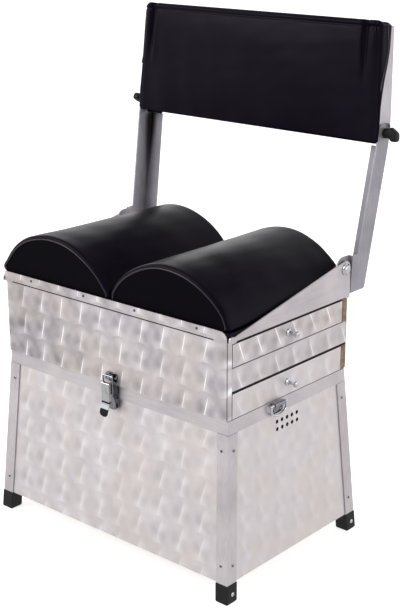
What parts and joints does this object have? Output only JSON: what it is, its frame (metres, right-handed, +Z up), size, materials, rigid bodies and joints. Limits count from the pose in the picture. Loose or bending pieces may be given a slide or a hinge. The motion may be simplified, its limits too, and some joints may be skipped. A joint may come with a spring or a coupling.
{
  "type": "seat box",
  "caption": "Seat box on a flared plywood base with a hinged upper part holding side drawers, twin padded bolsters and a folding padded backrest.",
  "frame": {"origin": "middle of the whole footprint, on the floor", "axes": "+X to the side the drawers open, +Y to the backrest, +Z up"},
  "size_m": [0.562, 0.4162, 0.842],
  "materials": {
    "jewelled_sheet": "engine-turned bright",
    "plain_sheet": "satin",
    "bright_metal": "polished",
    "plywood": "oiled plywood",
    "black_plastic": "moulded satin",
    "black_vinyl": "soft vinyl, low sheen"
  },
  "bodies": {
    "box_base": {"base_box": "plywood", "base_panel_front": "jewelled_sheet", "base_panel_back": "jewelled_sheet", "base_panel_right": "jewelled_sheet", "base_panel_left": "jewelled_sheet", "rim_band": "plain_sheet", "corner_angle_front_right": "plain_sheet", "corner_angle_front_left": "plain_sheet", "corner_angle_back_right": "plain_sheet", "corner_angle_back_left": "plain_sheet", "foot_front_right": "black_plastic", "foot_front_left": "black_plastic", "foot_back_right": "black_plastic", "foot_back_left": "black_plastic", "foot_screw_front_right": "bright_metal", "foot_screw_front_left": "bright_metal", "foot_screw_back_right": "bright_metal", "foot_screw_back_left": "bright_metal", "strap_plate_right": "bright_metal", "strap_plate_left": "bright_metal", "latch_base": "bright_metal", "hinge_leaf_lower": "plain_sheet", "hinge_pin": "bright_metal"},
    "seat_module": {"latch_keeper": "bright_metal", "hinge_leaf_upper": "plain_sheet", "case_body": "plywood", "case_sheet_front": "jewelled_sheet", "case_sheet_left": "jewelled_sheet", "case_sheet_back": "jewelled_sheet", "case_middle_panel": "jewelled_sheet", "seat_board": "plywood", "seat_trim": "plain_sheet", "side_plate_right": "plain_sheet", "side_plate_left": "plain_sheet", "pivot_bolt_right": "bright_metal", "pivot_bolt_left": "bright_metal", "bolster_right": "black_vinyl", "bolster_left": "black_vinyl"},
    "drawer_upper": {"drawer_upper_front": "jewelled_sheet", "drawer_upper_tray": "plywood", "drawer_upper_pull": "bright_metal"},
    "drawer_lower": {"drawer_lower_front": "jewelled_sheet", "drawer_lower_tray": "plywood", "drawer_lower_pull": "bright_metal"},
    "latch_lever": {"latch_lever": "bright_metal"},
    "latch_bail": {"latch_bail": "bright_metal"},
    "strap_ring_right": {"strap_ring_right": "bright_metal"},
    "strap_ring_left": {"strap_ring_left": "bright_metal"},
    "backrest_lower_frame": {"lower_post_right": "plain_sheet", "lower_post_left": "plain_sheet", "clamp_bolt_right": "bright_metal", "clamp_bolt_left": "bright_metal"},
    "backrest_upper_frame": {"upper_post_right": "plain_sheet", "upper_post_left": "plain_sheet", "backrest_board": "plywood", "backrest_pad": "black_vinyl"},
    "clamp_knob_right": {"clamp_knob_right": "black_plastic"},
    "clamp_knob_left": {"clamp_knob_left": "black_plastic"}
  },
  "joints": [
    {"name": "lid_hinge", "type": "hinge", "parent": "box_base", "child": "seat_module", "pos_m": [0, 0.11899, 0.2915], "axis": [-1, 0, 0], "range_deg": [0, 95]},
    {"name": "drawer_upper_slide", "type": "slide", "parent": "seat_module", "child": "drawer_upper", "axis": [1, 0, 0], "range_m": [0, 0.3]},
    {"name": "drawer_lower_slide", "type": "slide", "parent": "seat_module", "child": "drawer_lower", "axis": [1, 0, 0], "range_m": [0, 0.3]},
    {"name": "latch_lever_hinge", "type": "hinge", "parent": "box_base", "child": "latch_lever", "pos_m": [0.003, -0.19601, 0.292], "axis": [-1, 0, 0], "range_deg": [0, 115]},
    {"name": "latch_bail_hinge", "type": "hinge", "parent": "latch_lever", "child": "latch_bail", "pos_m": [0.003, -0.19601, 0.28], "axis": [-1, 0, 0], "range_deg": [-115, 0]},
    {"name": "strap_ring_right_swing", "type": "hinge", "parent": "box_base", "child": "strap_ring_right", "pos_m": [0.24672, -0.06951, 0.2874], "axis": [0, -1, 0], "range_deg": [0, 110]},
    {"name": "strap_ring_left_swing", "type": "hinge", "parent": "box_base", "child": "strap_ring_left", "pos_m": [-0.24672, -0.06951, 0.2874], "axis": [0, 1, 0], "range_deg": [0, 110]},
    {"name": "backrest_fold", "type": "hinge", "parent": "seat_module", "child": "backrest_lower_frame", "pos_m": [0, 0.09699, 0.464], "axis": [1, 0, 0], "range_deg": [0, 88]},
    {"name": "backrest_tilt", "type": "hinge", "parent": "backrest_lower_frame", "child": "backrest_upper_frame", "pos_m": [0, 0.17699, 0.671], "axis": [-1, 0, 0], "range_deg": [0, 25]},
    {"name": "clamp_knob_right_turn", "type": "hinge", "parent": "backrest_lower_frame", "child": "clamp_knob_right", "pos_m": [0, 0.17699, 0.671], "axis": [1, 0, 0], "range_deg": [-180, 0]},
    {"name": "clamp_knob_left_turn", "type": "hinge", "parent": "backrest_lower_frame", "child": "clamp_knob_left", "pos_m": [0, 0.17699, 0.671], "axis": [1, 0, 0], "range_deg": [-180, 0]}
  ],
  "couplings": [
    {"joint": "latch_bail_hinge", "follows": "latch_lever_hinge", "ratio": -1}
  ]
}
